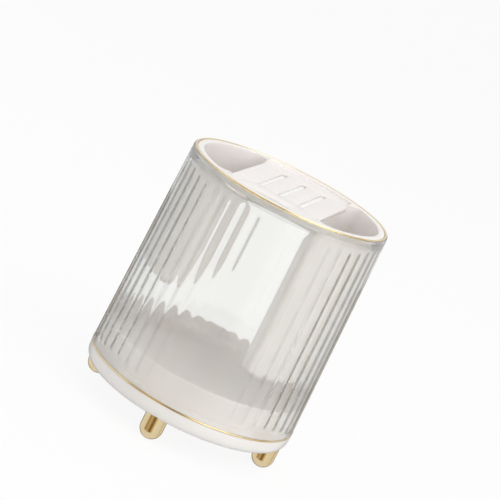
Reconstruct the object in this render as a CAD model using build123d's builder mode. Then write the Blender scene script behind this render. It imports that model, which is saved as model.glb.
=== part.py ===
from build123d import *
from math import cos, pi, radians, sin, sqrt
import os

# Rotating knife block: a clear fluted shell that turns on a low round base with four domed feet.
# Millimetres, +Z up. The origin is on the surface it stands on, below the middle of the base.
# The knife slots run along Y. One foot stands on each of +X, -X, +Y and -Y.

# Overall sizes
outer_radius = 100.0  # base and lower gold ring
total_height = 237.0  # floor to the top of the upper gold ring

# Feet
foot_radius = 10.5
foot_inset = 13.5  # middle of a foot, inside the edge of the base
foot_exposed = 22.0  # floor to the underside of the base
foot_socket_depth = 4.0
foot_flat_depth = 0.35  # how much of the dome is flat where it meets the floor
foot_clearance = 0.1
socket_wall = 2.0
socket_roof = 3.2

# Base pan
pan_height = 14.2
pan_wall = 3.0
pan_floor = 2.5
pan_edge_round = 6.5
pan_draft = 0.8  # how much narrower the pan is at its lower edge
ledge_width = 1.3
rib_count = 8
rib_thickness = 1.8
rib_height = 4.5
rib_inner_radius = 26.0

# Cover of the base
cover_thickness = 2.5
cover_clearance = 0.2
cover_drop = 0.7  # top of the cover below the edge of the pan
post_radius = 4.0
post_inset = 20.0  # middle of a post, inside the edge of the base
boss_depth = 5.0

# Lower gold ring
ring_height = 1.8
ring_width = 3.0
ring_round = 0.6

# Screws
screw_count = 4  # of each kind
between_feet = 45  # direction of the first screw of a group that stands between the feet
recess_length = 3.2
recess_width = 0.8
recess_depth = 1.0
screw_radius = 1.5
screw_head_radius = 3.0
screw_clearance = 0.08
cover_screw_length = 10.5
race_screw_length = 7.6
foot_screw_radius = 2.0
foot_screw_length = 15.0
foot_screw_head_radius = 4.0
foot_screw_head_height = 2.2

# Turntable bearing
ball_radius = 2.5
ball_count = 18
ball_circle_radius = 56.0
ball_gap = 0.15
ball_bite = 0.9  # how deep a ball sits in each race
race_thickness = 2.5
race_inner_radius = 50.0
race_outer_radius = 70.0
race_screw_circle = 65.0
cage_thickness = 1.2
cage_width = 9.0
cage_hole_gap = 0.2

# Pivot
pin_radius = 4.0
pin_head_radius = 8.0
pin_head_height = 2.5
pin_running_gap = 0.05
bush_wall = 2.0
bush_flange_radius = 10.0
bush_flange_height = 1.0
thrust_gap = 0.1
washer_thickness = 0.8
washer_radius = 9.0
clip_thickness = 1.0
clip_radius = 7.0
clip_opening = 5.2
clip_groove_depth = 1.0
pin_tip = 0.8

# Turntable plate and drum
plate_thickness = 2.0
plate_radius = 72.0
plate_hole_count = 6
plate_hole_radius = 7.0
drum_room = 4.0  # space for the pivot between the plate and the floor of the drum
drum_floor = 2.5
drum_wall = 2.4
drum_inset = 6.7  # outside of the drum, inside the edge of the base
drum_top = 64.4
drum_rim_round = 1.1
drum_floor_round = 5.0
drum_foot_height = 3.5
turning_gap = 0.5  # lower edge of the shell above the lower gold ring
drum_lift = 0.5  # foot of the drum above the lower edge of the shell
fit_gap = 0.1

# Clear shell
shell_inset = 0.4  # lower edge of the shell, inside the edge of the base
shell_taper = 4.7  # how much narrower the shell is at its shoulder
flute_count = 48
flute_depth = 1.5
flute_end_depth = 0.1
flute_run_out = 4.0  # length over which a flute dies out at each end
flute_wall = 2.5  # wall at the middle of a flute
collar_height = 5.0  # plain band above the flutes, below the seat of the insert
seat_width = 3.3  # ledge of the collar that carries the insert
shoulder_round = 0.95

# Upper gold ring
rim_inset = 1.1  # shoulder of the shell outside the ring
rim_width = 1.9
rim_height = 2.0
rim_stand = 0.9  # how far the ring stands above the shoulder of the shell
rim_round = 0.5

# Insert
insert_gap = 0.4  # around the flange of the insert
flange_thickness = 3.8
flange_drop = 0.2  # top of the flange below the top of the upper gold ring
collar_gap = 0.5
deck_recess = 2.7
deck_thickness = 2.5
deck_collar = 3.0  # depth of the deck's rim below its flange
deck_lip_round = 0.8
mouth_rim = 2.7  # rim of the deck outside the curved side of each tub
mouth_edge_round = 0.6
tub_mouth_x = 43.0  # from the middle to the straight side of each tub, inside
tub_wall = 2.0
tub_draft = 0.6
tub_corner_round = 8.0
tub_floor_round = 7.0
cutlery_floor = 121.0  # height of the underside of the shallow tub
utensil_floor = 87.0  # height of the underside of the deep tub
slot_width = 5.0
slot_length = 94.0
slot_middle_y = 7.0
slot_spacing = 20.0
scissors_slot_width = 6.0
scissors_slot_length = 34.0
scissors_slot_y = -67.0
slot_lead = 0.7  # how wide the edge of each slot is cut back
slot_lead_angle = 45

# Places and radii that follow
foot_circle_radius = outer_radius - foot_inset
post_circle_radius = outer_radius - post_inset
drum_radius = outer_radius - drum_inset
shell_foot_radius = outer_radius - shell_inset
shell_top_radius = shell_foot_radius - shell_taper
rim_outer_radius = shell_top_radius - rim_inset
rim_inner_radius = rim_outer_radius - rim_width
collar_bore = rim_inner_radius - seat_width
deck_radius = collar_bore - collar_gap
flange_radius = rim_inner_radius - insert_gap
tub_mouth_radius = deck_radius - mouth_rim

# Heights that follow
pan_bottom = foot_exposed
pan_top = pan_bottom + pan_height
cover_top = pan_top - cover_drop
cover_bottom = cover_top - cover_thickness
floor_top = pan_bottom + pan_floor
socket_top = pan_bottom + foot_socket_depth
boss_top = socket_top + socket_roof
ring_top = pan_top + ring_height
lower_race_top = cover_top + race_thickness
ball_height = lower_race_top - ball_bite + ball_gap + ball_radius
upper_race_bottom = 2 * ball_height - lower_race_top
upper_race_top = upper_race_bottom + race_thickness
plate_top = upper_race_top + plate_thickness
washer_bottom = plate_top + bush_flange_height + thrust_gap
clip_bottom = washer_bottom + washer_thickness
drum_floor_bottom = plate_top + drum_room
shell_bottom = ring_top + turning_gap
drum_bottom = shell_bottom + drum_lift
drum_foot_top = drum_bottom + drum_foot_height
rim_seat = total_height - rim_height
shoulder_top = total_height - rim_stand
flange_top = total_height - flange_drop
insert_seat = flange_top - flange_thickness
flute_top = insert_seat - collar_height
deck_top = flange_top - deck_recess
deck_underside = insert_seat - deck_collar


def shell_radius(height):
    """Outside radius of the tapered shell at a height."""
    share = (height - shell_bottom) / (shoulder_top - shell_bottom)
    return shell_foot_radius + share * (shell_top_radius - shell_foot_radius)


def save(piece, name):
    """Label a finished piece and write it to its own file."""
    piece.label = name
    export_step(piece, f"parts/{name}.step")


# Base pan: a shallow moulded dish with a round lower edge, four foot sockets and radial ribs
pan_inner_radius = outer_radius - pan_wall
ledge_radius = pan_inner_radius - ledge_width
foot_directions = {"foot_right": 0, "foot_rear": 90, "foot_left": 180, "foot_front": 270}

with BuildPart() as pan_hollow:
    with BuildSketch(Plane.XZ):
        with BuildLine():
            Polyline(
                (0, floor_top),
                (ledge_radius - pan_draft, floor_top),
                (ledge_radius, cover_bottom),
                (pan_inner_radius, cover_bottom),
                (pan_inner_radius, pan_top),
                (0, pan_top),
                close=True,
            )
        hollow_section = make_face()
        hollow_corner = hollow_section.vertices().group_by(Axis.Y)[0].sort_by(Axis.X)[-1]
        fillet(hollow_corner, pan_edge_round - pan_floor)
    revolve(axis=Axis.Z)
    with BuildSketch(Plane.XY.offset(floor_top)):
        with PolarLocations(foot_circle_radius, len(foot_directions)):
            Circle(foot_radius + foot_clearance + socket_wall)
    extrude(amount=boss_top - floor_top, mode=Mode.SUBTRACT)
    with BuildSketch(Plane.XY.offset(floor_top)):
        rib_length = ledge_radius - rib_inner_radius
        rib_middle = rib_inner_radius + rib_length / 2
        with PolarLocations(rib_middle, rib_count, start_angle=180 / rib_count):
            Rectangle(rib_length, rib_thickness)
        Circle(rib_inner_radius + rib_thickness / 2)
        Circle(rib_inner_radius - rib_thickness / 2, mode=Mode.SUBTRACT)
    extrude(amount=rib_height, mode=Mode.SUBTRACT)

with BuildPart() as base_pan:
    with BuildSketch(Plane.XZ):
        with BuildLine():
            Polyline(
                (0, pan_bottom),
                (outer_radius - pan_draft, pan_bottom),
                (outer_radius, pan_top),
                (0, pan_top),
                close=True,
            )
        pan_section = make_face()
        pan_corner = pan_section.vertices().group_by(Axis.Y)[0].sort_by(Axis.X)[-1]
        fillet(pan_corner, pan_edge_round)
    revolve(axis=Axis.Z)
    add(pan_hollow.part, mode=Mode.SUBTRACT)
    with BuildSketch(Plane.XY.offset(pan_bottom)):
        with PolarLocations(foot_circle_radius, len(foot_directions)):
            Circle(foot_radius + foot_clearance)
    extrude(amount=foot_socket_depth, mode=Mode.SUBTRACT)
    with BuildSketch(Plane.XY.offset(pan_bottom)):
        with PolarLocations(foot_circle_radius, len(foot_directions)):
            Circle(foot_screw_radius + screw_clearance)
    extrude(amount=boss_top - pan_bottom, mode=Mode.SUBTRACT)
    with Locations(Plane.XY.offset(pan_bottom).rotated((180, 0, 0))):
        with PolarLocations(post_circle_radius, screw_count, start_angle=between_feet):
            CounterSinkHole(screw_radius + screw_clearance, screw_head_radius + screw_clearance, pan_floor)
save(base_pan.part, "base_pan")

# Cover of the base: a flat disc with hollow posts that stand on the pan and bosses for the lower race
with BuildPart() as base_cover:
    with BuildSketch(Plane.XY.offset(cover_bottom)):
        Circle(pan_inner_radius - cover_clearance)
    extrude(amount=cover_thickness)
    with BuildSketch(Plane.XY.offset(cover_bottom)):
        with PolarLocations(post_circle_radius, screw_count, start_angle=between_feet):
            Circle(post_radius)
    extrude(amount=floor_top - cover_bottom)
    with BuildSketch(Plane.XY.offset(cover_bottom)):
        with PolarLocations(race_screw_circle, screw_count):
            Circle(post_radius)
    extrude(amount=-boss_depth)
    with BuildSketch(Plane.XY.offset(floor_top)):
        with PolarLocations(post_circle_radius, screw_count, start_angle=between_feet):
            Circle(screw_radius + screw_clearance)
    extrude(amount=cover_screw_length - pan_floor, mode=Mode.SUBTRACT)
    with BuildSketch(Plane.XY.offset(cover_top)):
        with PolarLocations(race_screw_circle, screw_count):
            Circle(screw_radius + screw_clearance)
    extrude(amount=race_thickness - race_screw_length, mode=Mode.SUBTRACT)
    with BuildSketch(Plane.XY.offset(cover_bottom)):
        Circle(pin_radius + pin_running_gap)
    extrude(amount=cover_thickness, mode=Mode.SUBTRACT)
save(base_cover.part, "base_cover")

# Lower gold ring: it lies on the edge of the pan
with BuildPart() as base_trim_ring:
    with BuildSketch(Plane.XZ):
        with Locations((outer_radius - ring_width / 2, pan_top + ring_height / 2)):
            ring_section = Rectangle(ring_width, ring_height)
        fillet(ring_section.vertices().group_by(Axis.X)[-1], ring_round)
    revolve(axis=Axis.Z)
save(base_trim_ring.part, "base_trim_ring")

# Feet: cylinders with a domed end, threaded for the screw that comes down from inside the pan
foot_screw_tip = boss_top - foot_screw_length

with BuildPart() as foot:
    with BuildSketch(Plane.XZ):
        with BuildLine():
            flat_radius = sqrt(foot_radius**2 - (foot_radius - foot_flat_depth) ** 2)
            dome_middle = foot_radius - foot_flat_depth
            dome_halfway = -pi / 4
            Line((0, 0), (flat_radius, 0))
            dome_point = (foot_radius * cos(dome_halfway), dome_middle + foot_radius * sin(dome_halfway))
            ThreePointArc((flat_radius, 0), dome_point, (foot_radius, dome_middle))
            Polyline((foot_radius, dome_middle), (foot_radius, socket_top), (0, socket_top), (0, 0))
        make_face()
    revolve(axis=Axis.Z)
    with BuildSketch(Plane.XY.offset(foot_screw_tip - screw_clearance)):
        Circle(foot_screw_radius + screw_clearance)
    extrude(amount=socket_top - foot_screw_tip + screw_clearance, mode=Mode.SUBTRACT)

for foot_name, direction in foot_directions.items():
    with BuildPart() as placed_foot:
        with Locations(Plane.XY.rotated((0, 0, direction)).location * Location((foot_circle_radius, 0, 0))):
            add(foot.part)
    save(placed_foot.part, foot_name)

with BuildPart() as foot_screws:
    with BuildSketch(Plane.XY.offset(foot_screw_tip)):
        with PolarLocations(foot_circle_radius, len(foot_directions)):
            Circle(foot_screw_radius)
    extrude(amount=foot_screw_length)
    with BuildSketch(Plane.XY.offset(boss_top)):
        with PolarLocations(foot_circle_radius, len(foot_directions)):
            Circle(foot_screw_head_radius)
    extrude(amount=foot_screw_head_height)
save(foot_screws.part, "foot_screws")


def countersunk_screw(length):
    """A countersunk screw with a cross recess, its head face at z = 0 and its shank along -Z."""
    with BuildPart() as screw:
        with BuildSketch(Plane.XZ):
            with BuildLine():
                Polyline(
                    (0, 0),
                    (screw_head_radius, 0),
                    (screw_radius, screw_radius - screw_head_radius),
                    (screw_radius, screw_radius - length),
                    (0, -length),
                    close=True,
                )
            make_face()
        revolve(axis=Axis.Z)
        with BuildSketch():
            Rectangle(recess_length, recess_width)
            Rectangle(recess_width, recess_length)
        extrude(amount=-recess_depth, mode=Mode.SUBTRACT)
    return screw.part


def screw_group(length, circle_radius, head_height, start_angle=0, upward=False):
    """Countersunk screws on a circle, pointing down, or up where they come from below."""
    tilt = 180 if upward else 0
    with BuildPart() as group:
        for turn in range(screw_count):
            angle = start_angle + 360 * turn / screw_count
            spot = (circle_radius * cos(radians(angle)), circle_radius * sin(radians(angle)), head_height)
            with Locations(Location(spot, (tilt, 0, 0))):
                add(countersunk_screw(length))
    return group.part


cover_screws = screw_group(cover_screw_length, post_circle_radius, pan_bottom, between_feet, upward=True)
save(cover_screws, "cover_screws")
lower_race_screws = screw_group(race_screw_length, race_screw_circle, lower_race_top)
save(lower_race_screws, "lower_race_screws")
upper_race_screws = screw_group(
    race_screw_length, race_screw_circle, upper_race_bottom, between_feet, upward=True
)
save(upper_race_screws, "upper_race_screws")


# Turntable bearing: two grooved rings, a cage and its balls
with BuildPart() as ball_path:
    with BuildSketch(Plane.XZ):
        with Locations((ball_circle_radius, ball_height)):
            Circle(ball_radius + ball_gap)
    revolve(axis=Axis.Z)

with BuildPart() as lower_race:
    with BuildSketch(Plane.XY.offset(cover_top)):
        Circle(race_outer_radius)
        Circle(race_inner_radius, mode=Mode.SUBTRACT)
    extrude(amount=race_thickness)
    add(ball_path.part, mode=Mode.SUBTRACT)
    with Locations(Plane.XY.offset(lower_race_top)):
        with PolarLocations(race_screw_circle, screw_count):
            CounterSinkHole(screw_radius + screw_clearance, screw_head_radius + screw_clearance, race_thickness)
save(lower_race.part, "lower_race")

with BuildPart() as upper_race:
    with BuildSketch(Plane.XY.offset(upper_race_bottom)):
        Circle(race_outer_radius)
        Circle(race_inner_radius, mode=Mode.SUBTRACT)
    extrude(amount=race_thickness)
    add(ball_path.part, mode=Mode.SUBTRACT)
    with Locations(Plane.XY.offset(upper_race_bottom).rotated((180, 0, 0))):
        with PolarLocations(race_screw_circle, screw_count, start_angle=between_feet):
            CounterSinkHole(screw_radius + screw_clearance, screw_head_radius + screw_clearance, race_thickness)
save(upper_race.part, "upper_race")

with BuildPart() as ball_cage:
    with BuildSketch(Plane.XY.offset(ball_height - cage_thickness / 2)):
        Circle(ball_circle_radius + cage_width / 2)
        Circle(ball_circle_radius - cage_width / 2, mode=Mode.SUBTRACT)
        with PolarLocations(ball_circle_radius, ball_count):
            Circle(ball_radius + cage_hole_gap, mode=Mode.SUBTRACT)
    extrude(amount=cage_thickness)
save(ball_cage.part, "ball_cage")

with BuildPart() as bearing_balls:
    with Locations((0, 0, ball_height)):
        with PolarLocations(ball_circle_radius, ball_count):
            Sphere(ball_radius)
save(bearing_balls.part, "bearing_balls")

# Pivot: a headed pin through the cover, a flanged bush in the turntable plate, a washer and a clip
groove_bottom = clip_bottom
groove_top = clip_bottom + clip_thickness
groove_radius = pin_radius - clip_groove_depth
pin_top = groove_top + pin_tip

with BuildPart() as pivot_pin:
    with BuildSketch(Plane.XZ):
        with BuildLine():
            Polyline(
                (0, cover_bottom - pin_head_height),
                (pin_head_radius, cover_bottom - pin_head_height),
                (pin_head_radius, cover_bottom),
                (pin_radius, cover_bottom),
                (pin_radius, groove_bottom),
                (groove_radius, groove_bottom),
                (groove_radius, groove_top),
                (pin_radius, groove_top),
                (pin_radius, pin_top),
                (0, pin_top),
                close=True,
            )
        make_face()
    revolve(axis=Axis.Z)
save(pivot_pin.part, "pivot_pin")

bush_bore = pin_radius + pin_running_gap
bush_radius = bush_bore + bush_wall

with BuildPart() as pivot_bush:
    with BuildSketch(Plane.XY.offset(upper_race_top)):
        Circle(bush_radius)
        Circle(bush_bore, mode=Mode.SUBTRACT)
    extrude(amount=plate_thickness + bush_flange_height)
    with BuildSketch(Plane.XY.offset(plate_top)):
        Circle(bush_flange_radius)
        Circle(bush_bore, mode=Mode.SUBTRACT)
    extrude(amount=bush_flange_height)
save(pivot_bush.part, "pivot_bush")

with BuildPart() as thrust_washer:
    with BuildSketch(Plane.XY.offset(washer_bottom)):
        Circle(washer_radius)
        Circle(pin_radius + pin_running_gap, mode=Mode.SUBTRACT)
    extrude(amount=washer_thickness)
save(thrust_washer.part, "thrust_washer")

with BuildPart() as retaining_clip:
    with BuildSketch(Plane.XY.offset(clip_bottom)):
        Circle(clip_radius)
        Circle(groove_radius + pin_running_gap, mode=Mode.SUBTRACT)
        with Locations((clip_radius / 2, 0)):
            Rectangle(clip_radius, clip_opening, mode=Mode.SUBTRACT)
    extrude(amount=clip_thickness)
save(retaining_clip.part, "retaining_clip")

# Turntable plate: a pressed disc between the upper race and the bosses of the drum
with BuildPart() as turntable_plate:
    with BuildSketch(Plane.XY.offset(upper_race_top)):
        Circle(plate_radius)
        Circle(bush_radius + fit_gap, mode=Mode.SUBTRACT)
        with PolarLocations(race_screw_circle, screw_count, start_angle=between_feet):
            Circle(screw_radius + screw_clearance, mode=Mode.SUBTRACT)
        with PolarLocations((bush_radius + race_inner_radius) / 2, plate_hole_count):
            Circle(plate_hole_radius, mode=Mode.SUBTRACT)
    extrude(amount=plate_thickness)
save(turntable_plate.part, "turntable_plate")

# Drum: the white tray at the bottom of the shell, with a foot that the shell stands on
drum_foot_radius = shell_radius(drum_foot_top) - flute_wall - fit_gap
drum_floor_top = drum_floor_bottom + drum_floor

with BuildPart() as drum_tray:
    with BuildSketch(Plane.XZ):
        with BuildLine():
            Polyline(
                (0, drum_floor_bottom),
                (drum_radius - drum_wall, drum_floor_bottom),
                (drum_radius - drum_wall, drum_bottom),
                (drum_foot_radius, drum_bottom),
                (drum_foot_radius, drum_foot_top),
                (drum_radius, drum_foot_top),
                (drum_radius, drum_top),
                (0, drum_top),
                close=True,
            )
        make_face()
    revolve(axis=Axis.Z)
    with BuildSketch(Plane.XZ):
        with BuildLine():
            Polyline(
                (0, drum_floor_top),
                (drum_radius - drum_wall, drum_floor_top),
                (drum_radius - drum_wall, drum_top),
                (0, drum_top),
                close=True,
            )
        tray_section = make_face()
        tray_corner = tray_section.vertices().group_by(Axis.Y)[0].sort_by(Axis.X)[-1]
        fillet(tray_corner, drum_floor_round)
    revolve(axis=Axis.Z, mode=Mode.SUBTRACT)
    fillet(drum_tray.edges().group_by(Axis.Z)[-1], drum_rim_round)
    with BuildSketch(Plane.XY.offset(drum_floor_bottom)):
        with PolarLocations(race_screw_circle, screw_count, start_angle=between_feet):
            Circle(post_radius)
    extrude(amount=-drum_room)
    with BuildSketch(Plane.XY.offset(plate_top)):
        with PolarLocations(race_screw_circle, screw_count, start_angle=between_feet):
            Circle(screw_radius + screw_clearance)
    screw_reach = race_screw_length - race_thickness - plate_thickness
    extrude(amount=screw_reach + screw_clearance, mode=Mode.SUBTRACT)
save(drum_tray.part, "drum_tray")


def flute_outline(height, depth):
    """A ring of scallops that bulge outwards between sharp cusps, at one height of the shell."""
    pitch = 2 * pi / flute_count
    cusp_radius = shell_radius(height) - flute_wall - flute_depth
    crest_radius = cusp_radius + depth
    with BuildSketch() as outline:
        with BuildLine():
            for flute in range(flute_count):
                first, middle, last = (flute * pitch, (flute + 0.5) * pitch, (flute + 1) * pitch)
                ThreePointArc(
                    (cusp_radius * cos(first), cusp_radius * sin(first)),
                    (crest_radius * cos(middle), crest_radius * sin(middle)),
                    (cusp_radius * cos(last), cusp_radius * sin(last)),
                )
        make_face()
    return outline.sketch


# Clear shell: smooth and tapered outside, scalloped inside, with a plain collar that carries the insert
flute_stations = (
    (drum_foot_top, flute_end_depth),
    (drum_foot_top + flute_run_out, flute_depth),
    (flute_top - flute_run_out, flute_depth),
    (flute_top, flute_end_depth),
)

with BuildPart() as flute_core:
    for height, depth in flute_stations:
        with BuildSketch(Plane.XY.offset(height)):
            add(flute_outline(height, depth))
    loft(ruled=True)

with BuildPart() as fluted_shell:
    with BuildSketch(Plane.XZ):
        shell_bore = drum_foot_radius + fit_gap
        with BuildLine():
            Polyline(
                (shell_bore, shell_bottom),
                (shell_foot_radius, shell_bottom),
                (shell_top_radius, shoulder_top),
                (rim_outer_radius, shoulder_top),
                (rim_outer_radius, rim_seat),
                (rim_inner_radius, rim_seat),
                (rim_inner_radius, insert_seat),
                (collar_bore, insert_seat),
                (collar_bore, drum_foot_top),
                (shell_bore, drum_foot_top),
                close=True,
            )
        shell_section = make_face()
        shoulder = shell_section.vertices().group_by(Axis.Y)[-1].sort_by(Axis.X)[-1]
        fillet(shoulder, shoulder_round)
    revolve(axis=Axis.Z)
    add(flute_core.part, mode=Mode.SUBTRACT)
save(fluted_shell.part, "fluted_shell")

# Upper gold ring: it lies in a step of the shell, just outside the insert
with BuildPart() as top_trim_ring:
    with BuildSketch(Plane.XZ):
        with Locations((rim_inner_radius + rim_width / 2, rim_seat + rim_height / 2)):
            rim_section = Rectangle(rim_width, rim_height)
        fillet(rim_section.vertices().group_by(Axis.Y)[-1], rim_round)
    revolve(axis=Axis.Z)
save(top_trim_ring.part, "top_trim_ring")


def tub_outline(side, straight_x, arc_radius, corner_round):
    """The plan of a tub on one side: an arc closed by a straight line, with round corners."""
    with BuildSketch() as outline:
        Circle(arc_radius)
        with Locations((side * (straight_x + arc_radius), 0)):
            Rectangle(2 * arc_radius, 2 * arc_radius, mode=Mode.INTERSECT)
        fillet(outline.vertices(), corner_round)
    return outline.sketch


def slot_plan(growth):
    """The knife slots and the scissors slot in plan, grown by a width all round."""
    with BuildSketch() as plan:
        for place in (-slot_spacing, 0, slot_spacing):
            with Locations((place, slot_middle_y)):
                SlotOverall(slot_length + 2 * growth, slot_width + 2 * growth, rotation=90)
        with Locations((0, scissors_slot_y)):
            SlotOverall(scissors_slot_length + 2 * growth, scissors_slot_width + 2 * growth)
    return plan.sketch


# Knife deck: the flange, the recessed deck with its slots, and the two mouths that the tubs hang under
with BuildPart() as knife_deck:
    with BuildSketch(Plane.XY.offset(deck_underside)):
        Circle(deck_radius)
    extrude(amount=flange_top - deck_underside)
    with BuildSketch(Plane.XY.offset(insert_seat)):
        Circle(flange_radius)
    extrude(amount=flange_thickness)
    fillet(knife_deck.edges().group_by(Axis.Z)[-1], deck_lip_round)
    with BuildSketch(Plane.XY.offset(deck_top)):
        Circle(tub_mouth_radius)
        Rectangle(2 * tub_mouth_x, 2 * tub_mouth_radius, mode=Mode.INTERSECT)
    extrude(amount=deck_recess, mode=Mode.SUBTRACT)
    with BuildSketch(Plane.XY.offset(deck_underside)):
        Circle(tub_mouth_radius)
        Rectangle(2 * (tub_mouth_x - 2 * tub_wall), 2 * tub_mouth_radius, mode=Mode.INTERSECT)
    extrude(amount=deck_top - deck_thickness - deck_underside, mode=Mode.SUBTRACT)
    with BuildSketch(Plane.XY.offset(deck_underside)):
        for side in (-1, 1):
            add(tub_outline(side, tub_mouth_x, tub_mouth_radius, tub_corner_round))
    extrude(amount=flange_top - deck_underside, mode=Mode.SUBTRACT)
    mouth_edges = knife_deck.edges().group_by(Axis.Z)[-1].filter_by(GeomType.CIRCLE).sort_by(SortBy.LENGTH)[:2]
    fillet(mouth_edges, mouth_edge_round)
    with BuildSketch(Plane.XY.offset(deck_top)):
        add(slot_plan(0))
    extrude(amount=-deck_thickness, mode=Mode.SUBTRACT)
    with BuildSketch(Plane.XY.offset(deck_top)):
        add(slot_plan(slot_lead))
    extrude(amount=-slot_lead, taper=slot_lead_angle, mode=Mode.SUBTRACT)
save(knife_deck.part, "knife_deck")


def drafted_block(side, straight_x, arc_radius, corner_round, depth, floor_round):
    """A solid of the plan of a tub, drawn in as it goes down, with a round lower edge."""
    with BuildPart() as block:
        with BuildSketch(Plane.XY.offset(deck_underside)):
            add(tub_outline(side, straight_x, arc_radius, corner_round))
        extrude(amount=-depth, taper=tub_draft)
        fillet(block.edges().group_by(Axis.Z)[0], floor_round)
    return block.part


def hanging_tub(side, underside):
    """A drafted tub with a rounded floor that hangs under one mouth of the deck."""
    depth = deck_underside - underside
    outer_x = tub_mouth_x - tub_wall
    outer_arc = tub_mouth_radius + tub_wall
    outer_corner = tub_corner_round + tub_wall
    inner_floor_round = tub_floor_round - tub_wall
    with BuildPart() as tub:
        add(drafted_block(side, outer_x, outer_arc, outer_corner, depth, tub_floor_round))
        room = drafted_block(
            side, tub_mouth_x, tub_mouth_radius, tub_corner_round, depth - tub_wall, inner_floor_round
        )
        add(room, mode=Mode.SUBTRACT)
    return tub.part


save(hanging_tub(-1, cutlery_floor), "cutlery_tub")
save(hanging_tub(1, utensil_floor), "utensil_tub")
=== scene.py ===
from math import acos, atan2, cos, pi, radians, sin, sqrt, tan

import bmesh
import bpy
from mathutils import Matrix, Vector


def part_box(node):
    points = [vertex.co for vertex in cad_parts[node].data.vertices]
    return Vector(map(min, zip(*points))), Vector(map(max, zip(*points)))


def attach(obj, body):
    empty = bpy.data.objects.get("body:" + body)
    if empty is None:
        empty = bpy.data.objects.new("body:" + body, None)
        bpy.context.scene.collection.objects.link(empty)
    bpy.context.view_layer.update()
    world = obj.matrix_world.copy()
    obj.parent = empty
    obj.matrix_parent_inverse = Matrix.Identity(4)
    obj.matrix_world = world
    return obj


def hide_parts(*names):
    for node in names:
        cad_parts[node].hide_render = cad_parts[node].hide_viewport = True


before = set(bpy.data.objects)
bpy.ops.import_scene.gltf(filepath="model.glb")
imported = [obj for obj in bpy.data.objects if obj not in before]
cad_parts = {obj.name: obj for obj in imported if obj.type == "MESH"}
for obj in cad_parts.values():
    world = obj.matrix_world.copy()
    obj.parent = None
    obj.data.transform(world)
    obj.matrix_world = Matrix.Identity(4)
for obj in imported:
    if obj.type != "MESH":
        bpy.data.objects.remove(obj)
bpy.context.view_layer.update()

# Rotating knife block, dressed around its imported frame. Metres, +Z up, slots along Y.

MM = 0.001
AXIS = (0.0, 0.0, 1.0)
ORIGIN = (0.0, 0.0, 0.0)

# Places read from the frame
pan_low, pan_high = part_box("base_pan")
ring_low, ring_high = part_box("base_trim_ring")
shell_low, shell_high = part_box("fluted_shell")
rim_low, rim_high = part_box("top_trim_ring")
drum_low, drum_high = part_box("drum_tray")
deck_low, deck_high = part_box("knife_deck")
cover_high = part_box("base_cover")[1]
screws_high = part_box("cover_screws")[1]
cutlery_low, cutlery_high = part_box("cutlery_tub")
utensil_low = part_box("utensil_tub")[0]

# Fineness of the meshes
round_steps = 192
foot_steps = 64
hole_steps = 32
plate_steps = 32
slot_end_steps = 8
bend_steps = 6
shoulder_steps = 3
bevel_segments = 3
bevel_pitch = 0.4 * MM
fine_gap = 0.05 * MM
merge_distance = 0.002 * MM
usual_crease = radians(32)
flute_crease = radians(24)
lip_crease = radians(60)


class Wire:
    """One output of a shader node. Arithmetic on it adds Math nodes to the same finish."""

    def __init__(self, finish, socket):
        self.finish = finish
        self.socket = socket

    def maths(self, operation, *values):
        return self.finish.node("Math", {"operation": operation}, dict(enumerate(values)))

    def __add__(self, other):
        return self.maths("ADD", self, other)

    __radd__ = __add__

    def __sub__(self, other):
        return self.maths("SUBTRACT", self, other)

    def __rsub__(self, other):
        return self.maths("SUBTRACT", other, self)

    def __mul__(self, other):
        return self.maths("MULTIPLY", self, other)

    __rmul__ = __mul__

    def __truediv__(self, other):
        return self.maths("DIVIDE", self, other)

    def larger(self, other):
        return self.maths("MAXIMUM", self, other)


class Finish:
    """A material, or the world, whose nodes are added one call at a time."""

    def __init__(self, name, library=bpy.data.materials):
        self.owner = library.new(name)
        self.owner.use_nodes = True
        self.tree = self.owner.node_tree
        self.tree.nodes.clear()

    def node(self, kind, settings=None, sockets=None, output=0):
        """Adds a node with its settings and the values or links of its sockets, and gives one output."""
        made = self.tree.nodes.new("ShaderNode" + kind)
        for name, value in (settings or {}).items():
            if name == "stops":
                self.set_stops(made.color_ramp, value)
            else:
                setattr(made, name, value)
        for name, value in (sockets or {}).items():
            if isinstance(value, Wire):
                self.tree.links.new(value.socket, made.inputs[name])
            else:
                made.inputs[name].default_value = value
        return Wire(self, made.outputs[output])

    @staticmethod
    def set_stops(ramp, stops):
        while len(ramp.elements) < len(stops):
            ramp.elements.new(1.0)
        for element, (position, colour) in zip(ramp.elements, stops):
            element.position = position
            element.color = colour

    def place(self, stretch=(1.0, 1.0, 1.0)):
        """Object coordinates, stretched along the axes."""
        coordinates = self.node("TexCoord", output="Object")
        return self.node("Mapping", sockets={"Vector": coordinates, "Scale": stretch})

    def noise(self, scale, detail=2.0, stretch=(1.0, 1.0, 1.0)):
        sockets = {"Vector": self.place(stretch), "Scale": scale, "Detail": detail}
        return self.node("TexNoise", sockets=sockets, output="Fac")

    def tint(self, factor, low, high):
        """A colour between two, by a factor."""
        return self.node("ValToRGB", {"stops": ((0.0, (*low, 1.0)), (1.0, (*high, 1.0)))}, {"Fac": factor})

    def bump(self, height, strength, distance):
        return self.node("Bump", sockets={"Height": height, "Strength": strength, "Distance": distance})

    def close(self, surface, output="OutputMaterial"):
        """Ends the nodes with their surface and gives the finished material or world."""
        end = self.tree.nodes.new("ShaderNode" + output)
        self.tree.links.new(surface.socket, end.inputs["Surface"])
        return self.owner


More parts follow.
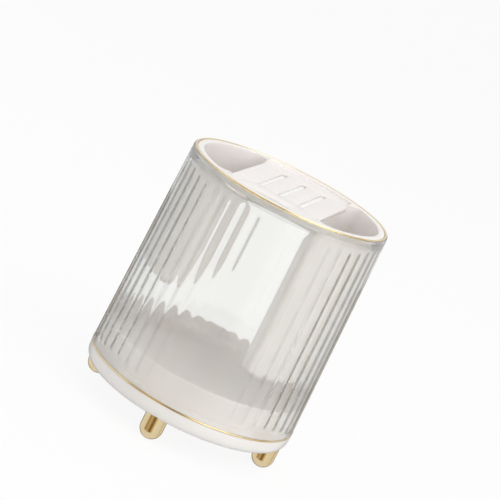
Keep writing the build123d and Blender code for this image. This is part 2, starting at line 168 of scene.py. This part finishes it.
def moulded_white(name, low, high, roughness=0.3):
    """Warm white moulded plastic: faint cloudiness, an uneven gloss and a fine pebble."""
    finish = Finish(name)
    cloud = finish.noise(9.0, 3.0)
    patches = finish.noise(38.0, 4.0)
    pebble = finish.noise(2600.0, 2.0)
    surface = finish.node("BsdfPrincipled", sockets={
        "Base Color": finish.tint(cloud, low, high),
        "Roughness": roughness + 0.06 * (patches - 0.5) + 0.03 * (pebble - 0.5),
        "IOR": 1.49,
        "Coat Weight": 0.1,
        "Coat Roughness": 0.2,
        "Normal": finish.bump(pebble, 0.03, 0.00001),
    })
    return finish.close(surface)


def polished_gold():
    """Champagne gold plating: fine turning lines round the axis and a slightly uneven polish."""
    finish = Finish("champagne_gold")
    lines = finish.noise(900.0, 3.0, (0.02, 0.02, 1.0))
    cloud = finish.noise(60.0, 3.0)
    surface = finish.node("BsdfPrincipled", sockets={
        "Base Color": finish.tint(cloud, (0.83, 0.67, 0.39), (0.90, 0.75, 0.48)),
        "Metallic": 1.0,
        "Roughness": 0.14 + 0.05 * lines + 0.05 * cloud,
        "Normal": finish.bump(lines, 0.05, 0.00002),
    })
    return finish.close(surface)


def clear_plastic():
    """Clear moulded plastic with a faint grey-green body and the slow ripple of a moulded wall."""
    finish = Finish("clear_plastic")
    ripple = finish.noise(14.0, 2.0, (1.0, 1.0, 0.25))
    haze = finish.noise(120.0, 3.0)
    glass = finish.node("BsdfPrincipled", sockets={
        "Base Color": finish.tint(haze, (0.977, 0.980, 0.970), (0.987, 0.990, 0.981)),
        "Roughness": 0.02 + 0.02 * haze,
        "IOR": 1.45,
        "Transmission Weight": 0.98,
        "Normal": finish.bump(ripple, 0.12, 0.0006),
    })
    passing = finish.node("BsdfTransparent", sockets={"Color": (0.97, 0.975, 0.965, 1.0)})
    lamp_ray = finish.node("LightPath", output="Is Shadow Ray")
    # A little passes unbent, which keeps the lines between the flutes from turning black
    unbent = 0.12
    share = unbent + (1.0 - unbent) * lamp_ray
    return finish.close(finish.node("MixShader", sockets={0: share, 1: glass, 2: passing}))


def plated_steel():
    """Zinc-plated pressed steel with a faint grain."""
    finish = Finish("plated_steel")
    grain = finish.noise(420.0, 4.0, (1.0, 0.15, 1.0))
    surface = finish.node("BsdfPrincipled", sockets={
        "Base Color": finish.tint(grain, (0.50, 0.50, 0.51), (0.68, 0.68, 0.69)),
        "Metallic": 1.0,
        "Roughness": 0.28 + 0.15 * grain,
        "Normal": finish.bump(grain, 0.1, 0.00003),
    })
    return finish.close(surface)


def plain_nylon():
    """Natural nylon: creamy, a little mottled and satin."""
    finish = Finish("natural_nylon")
    mottle = finish.noise(150.0, 4.0)
    surface = finish.node("BsdfPrincipled", sockets={
        "Base Color": finish.tint(mottle, (0.74, 0.72, 0.66), (0.84, 0.82, 0.77)),
        "Roughness": 0.45 + 0.15 * mottle,
        "Normal": finish.bump(mottle, 0.1, 0.00005),
    })
    return finish.close(surface)


base_white = moulded_white("base_white", (0.79, 0.765, 0.745), (0.83, 0.81, 0.79))
drum_white = moulded_white("drum_white", (0.86, 0.82, 0.80), (0.89, 0.855, 0.835), 0.34)
insert_white = moulded_white("insert_white", (0.865, 0.825, 0.805), (0.895, 0.86, 0.84), 0.26)
gold = polished_gold()
clear = clear_plastic()
steel = plated_steel()
nylon = plain_nylon()


def arc(centre, radius, start, end, steps):
    """Points along an arc in plan, both ends included."""
    turns = (start + (end - start) * i / steps for i in range(steps + 1))
    return [(centre[0] + radius * cos(turn), centre[1] + radius * sin(turn)) for turn in turns]


def finished(bm, name, body, material, replaced, crease=usual_crease):
    """Turns a bmesh into a piece that rides on a body and stands for CAD nodes."""
    bmesh.ops.remove_doubles(bm, verts=bm.verts, dist=merge_distance)
    bmesh.ops.recalc_face_normals(bm, faces=bm.faces)
    for face in bm.faces:
        face.smooth = True
    for edge in bm.edges:
        edge.smooth = len(edge.link_faces) == 2 and edge.calc_face_angle(pi) < crease
    mesh = bpy.data.meshes.new(name)
    bm.to_mesh(mesh)
    bm.free()
    mesh.materials.append(material)
    piece = bpy.data.objects.new(name, mesh)
    bpy.context.scene.collection.objects.link(piece)
    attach(piece, body)
    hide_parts(*replaced)


def lathe(corners, steps=round_steps):
    """A ring or disc turned about Z from a closed outline of (radius, height, corner round)."""
    bm = bmesh.new()
    points = [bm.verts.new((radius, 0.0, height)) for radius, height, _ in corners]
    bm.faces.new(points)
    for point, (_, _, round_off) in zip(points, corners):
        if round_off:
            segments = max(bevel_segments, round(round_off / bevel_pitch))
            bmesh.ops.bevel(bm, geom=[point], offset=round_off, offset_type="OFFSET", segments=segments,
                            profile=0.5, affect="VERTICES", material=-1)
    bmesh.ops.delete(bm, geom=bm.faces[:], context="FACES_ONLY")
    bmesh.ops.spin(bm, geom=bm.edges[:] + bm.verts[:], cent=ORIGIN, axis=AXIS, angle=2 * pi, steps=steps,
                   use_merge=True)
    bmesh.ops.remove_doubles(bm, verts=bm.verts, dist=merge_distance)
    # What lies on the axis turns into edges without faces
    lone = [edge for edge in bm.edges if not edge.link_faces]
    bmesh.ops.delete(bm, geom=lone, context="EDGES")
    return bm


def loop_of(bm, points, height):
    """A closed loop of edges through plan points at one height."""
    verts = [bm.verts.new((x, y, height)) for x, y in points]
    return [bm.edges.new((a, b)) for a, b in zip(verts, verts[1:] + verts[:1])]


def screw_plate(bm, radius, holes, faces):
    """Closes the open middle of a turned piece with a plate. Its faces are (height, hole radius)."""
    wall = [face for face in bm.faces
            if all(abs(vert.co.xy.length - radius) < fine_gap for vert in face.verts)]
    bmesh.ops.delete(bm, geom=wall, context="FACES")
    hole_rings = []
    for height, hole_radius in faces:
        edges = [edge for edge in bm.edges if len(edge.link_faces) == 1
                 and all(abs(vert.co.z - height) < fine_gap for vert in edge.verts)]
        rings = [loop_of(bm, arc(hole, hole_radius, 0.0, 2 * pi, hole_steps)[:-1], height) for hole in holes]
        hole_rings.append(rings)
        edges += [edge for ring in rings for edge in ring]
        bmesh.ops.triangle_fill(bm, use_beauty=True, use_dissolve=False, edges=edges)
    for lower, upper in zip(*hole_rings):
        bmesh.ops.bridge_loops(bm, edges=lower + upper)


# Base pan: a turned dish with a rounded lower edge, a small step for its cover and four countersunk holes
pan_radius = pan_high.x
pan_wall = 3.0 * MM
pan_floor = 2.5 * MM
pan_draft = 0.8 * MM
pan_edge_round = 6.5 * MM
pan_rim_round = 0.35 * MM
pan_floor_round = 3.5 * MM
cover_play = 0.2 * MM
cover_radius = cover_high.x + cover_play
cover_thickness = 2.5 * MM
ledge_height = cover_high.z - cover_thickness
ledge_width = 1.3 * MM
ledge_round = 0.3 * MM
hollow_radius = pan_radius - pan_wall - ledge_width
screw_head = 3.0 * MM
screw_play = 0.15 * MM
screw_place = screws_high.x - screw_head
plate_margin = 6.0 * MM
plate_edge = sqrt(2.0) * screw_place + plate_margin
base_pan = lathe([
    (plate_edge, pan_low.z, 0.0),
    (pan_radius - pan_draft, pan_low.z, pan_edge_round),
    (pan_radius, pan_high.z, pan_rim_round),
    (pan_radius - pan_wall, pan_high.z, pan_rim_round),
    (cover_radius, ledge_height, 0.0),
    (hollow_radius, ledge_height, ledge_round),
    (hollow_radius - pan_draft, pan_low.z + pan_floor, pan_floor_round),
    (plate_edge, pan_low.z + pan_floor, 0.0),
])
screw_places = [(x * screw_place, y * screw_place) for x in (-1, 1) for y in (-1, 1)]
screw_plate(base_pan, plate_edge, screw_places, (
    (pan_low.z, screw_head + screw_play),
    (pan_low.z + pan_floor, screw_head / 2 + screw_play),
))
finished(base_pan, "base_pan_skin", "base", base_white, ["base_pan"])

# Lower gold ring on the edge of the pan
ring_width = 3.0 * MM
ring_round = 0.6 * MM
ring_inner_round = 0.2 * MM
base_ring = lathe([
    (ring_high.x - ring_width, ring_low.z, ring_inner_round),
    (ring_high.x, ring_low.z, ring_round),
    (ring_high.x, ring_high.z, ring_round),
    (ring_high.x - ring_width, ring_high.z, ring_inner_round),
])
finished(base_ring, "base_ring_skin", "base", gold, ["base_trim_ring"])

# Upper gold ring in its step of the shell
rim_width = 1.9 * MM
rim_round = 0.7 * MM
rim_ring = lathe([
    (rim_high.x - rim_width, rim_low.z, 0.0),
    (rim_high.x, rim_low.z, 0.0),
    (rim_high.x, rim_high.z, rim_round),
    (rim_high.x - rim_width, rim_high.z, rim_round),
])
finished(rim_ring, "rim_ring_skin", "carousel", gold, ["top_trim_ring"])

# Feet: a cylinder with a domed end and a small flat where it stands
dome_flat = 0.35 * MM
dome_steps = 16
for foot_name in ("foot_front", "foot_left", "foot_rear", "foot_right"):
    foot_low, foot_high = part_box(foot_name)
    foot_middle = (foot_low + foot_high) / 2
    foot_radius = (foot_high.x - foot_low.x) / 2
    flat_turn = -pi / 2 + atan2(sqrt(2 * foot_radius * dome_flat), foot_radius - dome_flat)
    dome = arc((0.0, foot_radius - dome_flat), foot_radius, flat_turn, 0.0, dome_steps)
    corners = [(0.0, foot_low.z, 0.0)]
    corners += [(radius, max(height, foot_low.z), 0.0) for radius, height in dome]
    corners += [(foot_radius, foot_high.z, 0.0), (0.0, foot_high.z, 0.0)]
    foot = lathe(corners, foot_steps)
    bmesh.ops.translate(foot, verts=foot.verts, vec=(foot_middle.x, foot_middle.y, 0.0))
    finished(foot, foot_name + "_skin", "base", gold, [foot_name])

# Drum: a tray with a rounded rim, a filleted floor and a foot that carries the shell
drum_radius = 93.3 * MM
drum_wall = 2.4 * MM
drum_floor_low = 50.0 * MM
drum_floor_high = 52.5 * MM
drum_floor_round = 5.0 * MM
drum_rim_round = 1.1 * MM
drum_foot_height = 3.5 * MM
drum_foot_top = drum_low.z + drum_foot_height
drum_foot_round = 0.3 * MM
drum_step_round = 0.5 * MM
seat_gap = 0.1 * MM
seat_drop = 0.6 * MM
seat_top = drum_foot_top - seat_drop
shell_foot = ring_high.z + seat_gap
shell_foot_width = 0.5 * MM
drum = lathe([
    (0.0, drum_floor_low, 0.0),
    (drum_radius - drum_wall, drum_floor_low, 0.0),
    (drum_radius - drum_wall, drum_low.z, 0.0),
    (shell_high.x - shell_foot_width - seat_gap, shell_foot + seat_gap, 0.0),
    (drum_high.x, seat_top, 0.0),
    (drum_high.x, drum_foot_top, drum_foot_round),
    (drum_radius, drum_foot_top, drum_step_round),
    (drum_radius, drum_high.z, drum_rim_round),
    (drum_radius - drum_wall, drum_high.z, drum_rim_round),
    (drum_radius - drum_wall, drum_floor_high, drum_floor_round),
    (0.0, drum_floor_high, 0.0),
])
finished(drum, "drum_skin", "carousel", drum_white, ["drum_tray"])

# Clear shell: one flute wide slice of the wall, hollowed between its cusps and turned round 48 times
flute_count = 48
flute_steps = 12
flute_depth = 1.0 * MM
flute_wall = 2.5 * MM
flute_end = 8.0 * MM
flute_end_rows = 6
collar_bore = 88.6 * MM
collar_foot = 231.0 * MM
collar_slope = 4.5 * MM
foot_slope = 1.5 * MM
insert_seat = 233.0 * MM
shell_top_radius = 94.9 * MM
shell_shoulder = shell_high.z
flute_pitch = 2 * pi / flute_count


def shell_radius(height):
    """Outside radius of the tapered shell at a height."""
    share = (height - shell_low.z) / (shell_shoulder - shell_low.z)
    return shell_high.x + share * (shell_top_radius - shell_high.x)


def flute_rows():
    """Rows of the fluted wall from top to bottom, as (radius, height, share of the flute depth)."""
    rows = []
    for top_down in (True, False):
        for row in range(flute_end_rows + 1):
            along = row / flute_end_rows
            reach = flute_end * along
            height = collar_foot - collar_slope - reach if top_down else drum_foot_top + foot_slope + reach
            share = along**2 * (3.0 - 2.0 * along)
            rows.append((shell_radius(height) - flute_wall - flute_depth, height, share))
    return sorted(rows, key=lambda row: -row[1])


shell_bore = drum_high.x + seat_gap
shoulder_round = 0.95 * MM
shoulder_foot = shell_shoulder - shoulder_round
shoulder_middle = (shell_top_radius - shoulder_round, shoulder_foot)
plain_rows = [
    (shell_bore, seat_top),
    (shell_high.x - shell_foot_width, shell_foot),
    (shell_high.x, shell_foot),
    (shell_radius(shoulder_foot), shoulder_foot),
    *arc(shoulder_middle, shoulder_round, 0.0, pi / 2, shoulder_steps)[1:],
    (rim_high.x + fine_gap, shell_shoulder),
    (rim_high.x + fine_gap, rim_low.z - fine_gap),
    (rim_high.x - rim_width, rim_low.z - fine_gap),
    (rim_high.x - rim_width, insert_seat),
    (collar_bore, insert_seat),
    (collar_bore, collar_foot),
]
wall_rows = [(radius, height, 0.0) for radius, height in plain_rows]
wall_rows += flute_rows()
wall_rows.append((shell_bore, drum_foot_top, 0.0))

shell = bmesh.new()
share_of = shell.verts.layers.float.new("flute_share")
slice_verts = []
for radius, height, share in wall_rows:
    vert = shell.verts.new((radius, 0.0, height))
    vert[share_of] = share
    slice_verts.append(vert)
slice_edges = [shell.edges.new(pair) for pair in zip(slice_verts, slice_verts[1:] + slice_verts[:1])]
bmesh.ops.spin(shell, geom=slice_verts + slice_edges, cent=ORIGIN, axis=AXIS, angle=flute_pitch,
               steps=flute_steps)
for vert in shell.verts:
    across = 2.0 * atan2(vert.co.y, vert.co.x) / flute_pitch - 1.0
    radius = vert.co.xy.length
    swell = 1.0 + flute_depth * vert[share_of] * (0.5 + 0.5 * cos(pi * across)) / radius
    vert.co.x *= swell
    vert.co.y *= swell
bmesh.ops.spin(shell, geom=shell.verts[:] + shell.edges[:] + shell.faces[:], cent=ORIGIN, axis=AXIS,
               angle=flute_pitch * (flute_count - 1), steps=flute_count - 1, use_duplicate=True)
finished(shell, "fluted_shell_skin", "carousel", clear, ["fluted_shell"], flute_crease)

# Mouths of the tubs: an arc closed by a straight side, with round corners
mouth_x = 43.0 * MM
mouth_radius = 85.4 * MM
mouth_corner = 8.0 * MM
least_corner = 1.5 * MM
tub_wall = 2.0 * MM
tub_draft = tan(radians(0.6))
tub_floor_round = 7.0 * MM
corner_steps = 10
mouth_steps = 48


def corner_of(straight_x, arc_radius, corner):
    """Middle of a round corner that touches the straight side and the arc, and its direction."""
    x = straight_x + corner
    y = sqrt((arc_radius - corner) ** 2 - x**2)
    return x, y, atan2(y, x)


def straight_side(straight_x, arc_radius, corner):
    """Front corner, straight side and rear corner of a mouth on +X, from front to rear."""
    x, y, turn = corner_of(straight_x, arc_radius, corner)
    front = arc((x, -y), corner, -turn, -pi, corner_steps)
    rear = arc((x, y), corner, pi, turn, corner_steps)
    return front + rear


def tub_outline(side, inset):
    """Plan of a tub, drawn in by an inset from its mouth."""
    straight_x = mouth_x + inset
    arc_radius = mouth_radius - inset
    corner = max(mouth_corner - inset, least_corner)
    turn = corner_of(straight_x, arc_radius, corner)[2]
    bow = arc(ORIGIN, arc_radius, turn, -turn, mouth_steps)[1:-1]
    return [(side * x, y) for x, y in straight_side(straight_x, arc_radius, corner) + bow]


def tub_levels(underside, floor_round, wall):
    """(inset, height) of the loops down one face of a tub, from its top to its flat floor."""
    top = cutlery_high.z
    bend_top = underside + floor_round
    levels = [(-wall, top), (-wall + tub_draft * (top - bend_top), bend_top)]
    for step in range(1, bend_steps + 1):
        turn = pi / 2 * step / bend_steps
        inset = levels[1][0] + floor_round * (1.0 - cos(turn))
        levels.append((inset, bend_top - floor_round * sin(turn)))
    return levels


def hanging_tub(side, underside, name):
    """A drafted tub: loops down its inside and its outside, bridged in turn and joined by its rim."""
    bm = bmesh.new()
    rim = []
    for levels in (
        tub_levels(underside + tub_wall, tub_floor_round - tub_wall, 0.0),
        tub_levels(underside, tub_floor_round, tub_wall),
    ):
        loops = [loop_of(bm, tub_outline(side, inset), height) for inset, height in levels]
        for upper, lower in zip(loops, loops[1:]):
            bmesh.ops.bridge_loops(bm, edges=upper + lower)
        bmesh.ops.edgeloop_fill(bm, edges=loops[-1])
        rim += loops[0]
    bmesh.ops.triangle_fill(bm, use_beauty=True, use_dissolve=False, edges=rim)
    finished(bm, name + "_skin", "insert", insert_white, [name])


hanging_tub(-1, cutlery_low.z, "cutlery_tub")
hanging_tub(1, utensil_low.z, "utensil_tub")

# Knife deck: a turned flange and collar, and a plate between the mouths with its slots
deck_recess = 2.7 * MM
deck_thickness = 2.5 * MM
deck_collar_radius = 88.1 * MM
deck_collar_round = 0.3 * MM
flange_lip = 0.9 * MM
plate_overlap = 0.3 * MM
slot_width = 5.0 * MM
slot_length = 94.0 * MM
slot_middle_y = 7.0 * MM
slot_spacing = 20.0 * MM
scissors_width = 6.0 * MM
scissors_length = 34.0 * MM
scissors_y = -67.0 * MM
slot_lead = 0.7 * MM
mouth_lip = 0.5 * MM

deck_ring = lathe([
    (mouth_radius, deck_low.z, 0.0),
    (deck_collar_radius, deck_low.z, deck_collar_round),
    (deck_collar_radius, insert_seat, 0.0),
    (deck_high.x, insert_seat, 0.0),
    (deck_high.x, deck_high.z, flange_lip),
    (mouth_radius, deck_high.z, flange_lip),
])
ring_mesh = bpy.data.meshes.new("deck_ring")
deck_ring.to_mesh(ring_mesh)
deck_ring.free()


def slot_outline(middle_x, middle_y, length, width, along_y):
    """A slot with round ends, in plan."""
    reach = (length - width) / 2
    ends = arc((reach, 0.0), width / 2, -pi / 2, pi / 2, slot_end_steps)
    ends += arc((-reach, 0.0), width / 2, pi / 2, 3 * pi / 2, slot_end_steps)
    return [(middle_x - y, middle_y + x) if along_y else (middle_x + x, middle_y + y) for x, y in ends]


def slab(outlines, top, thickness, lip):
    """A flat plate from plan outlines, with holes where they nest and a rounded upper edge inside the rim."""
    bm = bmesh.new()
    edges = [edge for outline in outlines for edge in loop_of(bm, outline, top)]
    filled = bmesh.ops.triangle_fill(bm, use_beauty=True, use_dissolve=False, edges=edges)
    faces = [part for part in filled["geom"] if isinstance(part, bmesh.types.BMFace)]
    grown = bmesh.ops.extrude_face_region(bm, geom=faces, use_keep_orig=True)
    lowered = [part for part in grown["geom"] if isinstance(part, bmesh.types.BMVert)]
    bmesh.ops.translate(bm, verts=lowered, vec=(0.0, 0.0, -thickness))
    bmesh.ops.recalc_face_normals(bm, faces=bm.faces)
    upper = [edge for edge in bm.edges if all(abs(vert.co.z - top) < fine_gap for vert in edge.verts)]
    lips = [edge for edge in upper if edge.calc_face_angle(0.0) > lip_crease
            and all(vert.co.xy.length < mouth_radius + fine_gap for vert in edge.verts)]
    bmesh.ops.bevel(bm, geom=lips, offset=lip, offset_type="OFFSET", segments=bevel_segments,
                    profile=0.5, affect="EDGES", material=-1)
    mesh = bpy.data.meshes.new("slab")
    bm.to_mesh(mesh)
    bm.free()
    return mesh


deck_top = deck_high.z - deck_recess
plate_radius = mouth_radius + plate_overlap
plate_turn = acos(mouth_x / plate_radius)
plate_outline = arc(ORIGIN, plate_radius, plate_turn, pi - plate_turn, plate_steps)
plate_outline += arc(ORIGIN, plate_radius, plate_turn - pi, -plate_turn, plate_steps)
deck_outlines = [plate_outline, slot_outline(0.0, scissors_y, scissors_length, scissors_width, False)]
for place in (-slot_spacing, 0.0, slot_spacing):
    deck_outlines.append(slot_outline(place, slot_middle_y, slot_length, slot_width, True))
deck_slabs = [ring_mesh, slab(deck_outlines, deck_top, deck_thickness, slot_lead)]

# Where a mouth's round corner leaves the flange, a block fills the space up to the recess
corner_x, corner_y, corner_turn = corner_of(mouth_x, mouth_radius, mouth_corner)
block = arc((corner_x, corner_y), mouth_corner, pi, corner_turn, corner_steps)
block += arc(ORIGIN, plate_radius, corner_turn, plate_turn, corner_steps)
for side_x, side_y in ((1, 1), (-1, 1), (1, -1), (-1, -1)):
    outline = [(side_x * x, side_y * y) for x, y in block]
    deck_slabs.append(slab([outline], deck_high.z, deck_high.z - deck_low.z, mouth_lip))

plate = bmesh.new()
for mesh in deck_slabs:
    plate.from_mesh(mesh)
    bpy.data.meshes.remove(mesh)
finished(plate, "knife_deck_skin", "insert", insert_white, ["knife_deck"])

# The pieces that stay as the frame has them
node_finish = {
    "base_cover": base_white,
    "foot_screws": steel,
    "cover_screws": steel,
    "lower_race": steel,
    "lower_race_screws": steel,
    "upper_race": steel,
    "upper_race_screws": steel,
    "turntable_plate": steel,
    "pivot_pin": steel,
    "thrust_washer": steel,
    "retaining_clip": steel,
    "bearing_balls": steel,
    "ball_cage": nylon,
    "pivot_bush": nylon,
}
for node_name, finish in node_finish.items():
    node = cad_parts[node_name]
    for place in node.material_slots:
        place.material = finish

# Camera: the photograph's view, leaning 26.8 degrees clockwise
image_size = 500
focal_pixels = 2180.0
sensor_width = 36.0
camera_azimuth = radians(10.0)
camera_distance = 1.882
camera_rise = 0.573
camera_pan = radians(-0.26)
camera_tilt = radians(13.16)
camera_roll = radians(26.78)
aim_height = (ring_low.z + ring_high.z) / 2

heading = Matrix.Rotation(camera_azimuth, 3, "Z")
forward = heading @ Vector((
    sin(camera_pan) * cos(camera_tilt),
    cos(camera_pan) * cos(camera_tilt),
    -sin(camera_tilt),
))
right = heading @ Vector((cos(camera_pan), -sin(camera_pan), 0.0))
up = right.cross(forward)
leaning_right = cos(camera_roll) * right + sin(camera_roll) * up
leaning_up = -sin(camera_roll) * right + cos(camera_roll) * up
lens = bpy.data.cameras.new("camera")
lens.sensor_width = sensor_width
lens.lens = focal_pixels * sensor_width / image_size
camera = bpy.data.objects.new("camera", lens)
bpy.context.scene.collection.objects.link(camera)
stand = heading @ Vector((0.0, -camera_distance, camera_rise + aim_height))
camera.matrix_world = Matrix((
    (leaning_right.x, leaning_up.x, -forward.x, stand.x),
    (leaning_right.y, leaning_up.y, -forward.y, stand.y),
    (leaning_right.z, leaning_up.z, -forward.z, stand.z),
    (0.0, 0.0, 0.0, 1.0),
))
bpy.context.scene.camera = camera


def seen_straight(finish):
    """1 for rays from the camera, off metal or through clear plastic, which see the plain background."""
    from_camera = finish.node("LightPath", output="Is Camera Ray")
    off_metal = finish.node("LightPath", output="Is Glossy Ray")
    through = finish.node("LightPath", output="Is Transmission Ray")
    return from_camera.larger(off_metal).larger(through)


def pale_floor():
    """A floor that looks nearly white and keeps a soft shadow."""
    finish = Finish("pale_floor")
    grain = finish.noise(3.0, 2.0)
    pale = finish.tint(grain, (0.83, 0.83, 0.83), (0.86, 0.86, 0.86))
    lit = finish.node("BsdfDiffuse", sockets={"Color": pale})
    glow = finish.node("Emission", sockets={"Color": (1.0, 1.0, 1.0, 1.0), "Strength": 1.0})
    whiteness = 0.9
    share = seen_straight(finish) * whiteness
    return finish.close(finish.node("MixShader", sockets={0: share, 1: lit, 2: glow}))


def streaked_card(name, width, streaks):
    """A card for reflections, with soft upright streaks of colour. It looks white through clear plastic."""
    finish = Finish(name)
    place = finish.node("SeparateXYZ", sockets={"Vector": finish.place()}, output="X")
    stops = tuple((0.5 + offset / width, (*shade, 1.0)) for offset, shade in streaks)
    shade = finish.node("ValToRGB", {"stops": stops}, {"Fac": 0.5 - place / width})
    streaked = finish.node("Emission", sockets={"Color": shade, "Strength": 1.0})
    white = finish.node("Emission", sockets={"Color": (1.0, 1.0, 1.0, 1.0), "Strength": 1.0})
    through = finish.node("LightPath", output="Is Transmission Ray")
    return finish.close(finish.node("MixShader", sockets={0: through, 1: streaked, 2: white}))


def card(name, width, height, place, aim, material):
    """A flat staged panel facing a point."""
    bm = bmesh.new()
    bmesh.ops.create_grid(bm, x_segments=1, y_segments=1, size=0.5)
    bmesh.ops.scale(bm, verts=bm.verts, vec=(width, height, 1.0))
    mesh = bpy.data.meshes.new(name)
    bm.to_mesh(mesh)
    bm.free()
    mesh.materials.append(material)
    panel = bpy.data.objects.new(name, mesh)
    bpy.context.scene.collection.objects.link(panel)
    panel.location = place
    panel.rotation_euler = (Vector(aim) - Vector(place)).to_track_quat("Z", "Y").to_euler()
    return panel


floor_size = 30.0
floor = card("floor", floor_size, floor_size, ORIGIN, AXIS, pale_floor())
floor.visible_glossy = False

# Streaks of the cards: degrees to the side of a card's middle, seen from the axis, and a colour
front_streaks = (
    (-51.0, (1.0, 1.0, 1.0)),
    (-46.0, (0.53, 0.44, 0.30)),
    (-33.0, (0.33, 0.20, 0.09)),
    (-20.0, (0.60, 0.46, 0.26)),
    (-7.0, (0.50, 0.42, 0.21)),
    (6.0, (0.17, 0.095, 0.045)),
    (18.0, (0.24, 0.15, 0.07)),
    (31.0, (0.67, 0.56, 0.32)),
    (44.0, (0.88, 0.86, 0.76)),
    (51.0, (1.0, 1.0, 1.0)),
)
side_streaks = ((-8.0, (0.75, 0.66, 0.50)), (0.0, (0.48, 0.38, 0.24)), (8.0, (0.75, 0.66, 0.50)))
behind_streaks = ((-40.0, (0.30, 0.26, 0.20)), (0.0, (0.16, 0.13, 0.10)), (40.0, (0.24, 0.21, 0.17)))
for name, azimuth, distance, height, size, streaks in (
    ("front", -15.0, 2.2, 0.0, (5.6, 3.6), front_streaks),
    ("side_right", 100.0, 1.8, 0.0, (0.6, 3.2), side_streaks),
    ("low_behind", 180.0, 1.5, -1.05, (2.6, 1.9), behind_streaks),
):
    around = radians(azimuth) + camera_azimuth
    place = (distance * sin(around), -distance * cos(around), height)
    offsets = [(distance * tan(radians(beside)), shade) for beside, shade in streaks]
    panel = card(name, *size, place, (0.0, 0.0, height), streaked_card(name, size[0], offsets))
    panel.visible_camera = False
    panel.visible_diffuse = False
    panel.visible_shadow = False


middle = (0.0, 0.0, 0.12)


def soft_lamp(name, azimuth, elevation, distance, size, power, colour):
    """A square area lamp that points at the middle of the object."""
    lamp = bpy.data.lights.new(name, "AREA")
    lamp.shape = "SQUARE"
    lamp.size = size
    lamp.energy = power
    lamp.color = colour
    around = radians(azimuth) + camera_azimuth
    above = radians(elevation)
    back = Vector((sin(around) * cos(above), -cos(around) * cos(above), sin(above)))
    holder = bpy.data.objects.new(name, lamp)
    bpy.context.scene.collection.objects.link(holder)
    holder.location = Vector(middle) + back * distance
    holder.rotation_euler = (-back).to_track_quat("-Z", "Y").to_euler()


soft_lamp("key", 48.0, 42.0, 1.7, 1.6, 11.0, (1.0, 0.985, 0.965))
soft_lamp("fill", -60.0, 25.0, 2.0, 1.8, 3.0, (1.0, 0.99, 0.98))
soft_lamp("low", 32.0, 12.0, 2.0, 1.6, 5.0, (1.0, 0.98, 0.96))
soft_lamp("top", 10.0, 82.0, 1.6, 1.6, 3.2, (1.0, 0.995, 0.985))


def pale_room():
    """Even light from all around, a little brighter where it is seen straight."""
    finish = Finish("studio", bpy.data.worlds)
    ambient = 0.88
    strength = ambient + (1.0 - ambient) * seen_straight(finish)
    grey = (0.8, 0.8, 0.8, 1.0)
    light = finish.node("Background", sockets={"Color": grey, "Strength": strength})
    return finish.close(light, "OutputWorld")


bpy.context.scene.world = pale_room()
bpy.context.scene.view_settings.view_transform = "Standard"
